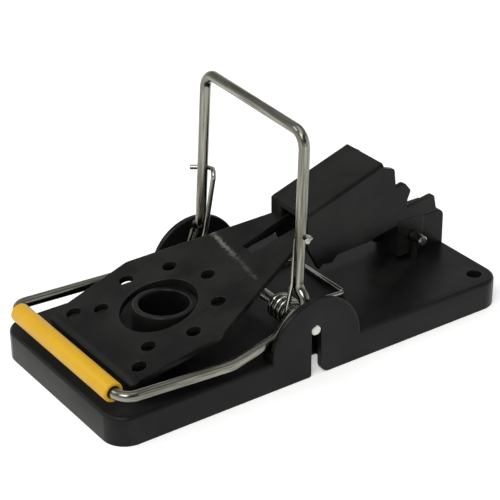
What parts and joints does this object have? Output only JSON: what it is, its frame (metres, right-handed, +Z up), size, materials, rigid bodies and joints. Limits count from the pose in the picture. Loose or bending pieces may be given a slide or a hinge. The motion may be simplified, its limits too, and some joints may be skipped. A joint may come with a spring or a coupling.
{
  "type": "snap mouse trap",
  "caption": "Snap mouse trap with a moulded base, a sprung wire striker with a grip sleeve and a hooded trip lever, shown sprung.",
  "frame": {"origin": "middle of the base's underside", "axes": "+Z up, +X along the length towards the bracket that holds the lever's pin, so the grip sleeve is at -X, +Y across"},
  "size_m": [0.12, 0.0568, 0.0649],
  "materials": {
    "black_plastic": "moulded charcoal black with a faint grain",
    "nickel_wire": "bright nickel plated wire",
    "steel_rod": "plain steel rod",
    "yellow_sleeve": "golden yellow extruded tube"
  },
  "bodies": {
    "frame": {"base": "black_plastic", "axle": "steel_rod", "lever_pin": "steel_rod", "torsion_spring": "nickel_wire"},
    "striker": {"striker_bail": "nickel_wire"},
    "sleeve": {"grip_sleeve": "yellow_sleeve"},
    "lever": {"trip_lever": "black_plastic"}
  },
  "joints": [
    {"name": "striker_swing", "type": "hinge", "parent": "frame", "child": "striker", "pos_m": [-0.002, 0, 0.013], "axis": [0, 1, 0], "range_deg": [0, 72], "stiffness_Nm_per_rad": 0.2, "springref_deg": -34.38, "deforming": ["torsion_spring"]},
    {"name": "sleeve_spin", "type": "hinge", "parent": "striker", "child": "sleeve", "pos_m": [-0.057, 0, 0.0128], "axis": [0, 1, 0], "continuous": true},
    {"name": "lever_tilt", "type": "hinge", "parent": "frame", "child": "lever", "pos_m": [0.0462, 0, 0.0155], "axis": [0, 1, 0], "range_deg": [0, 5]}
  ]
}
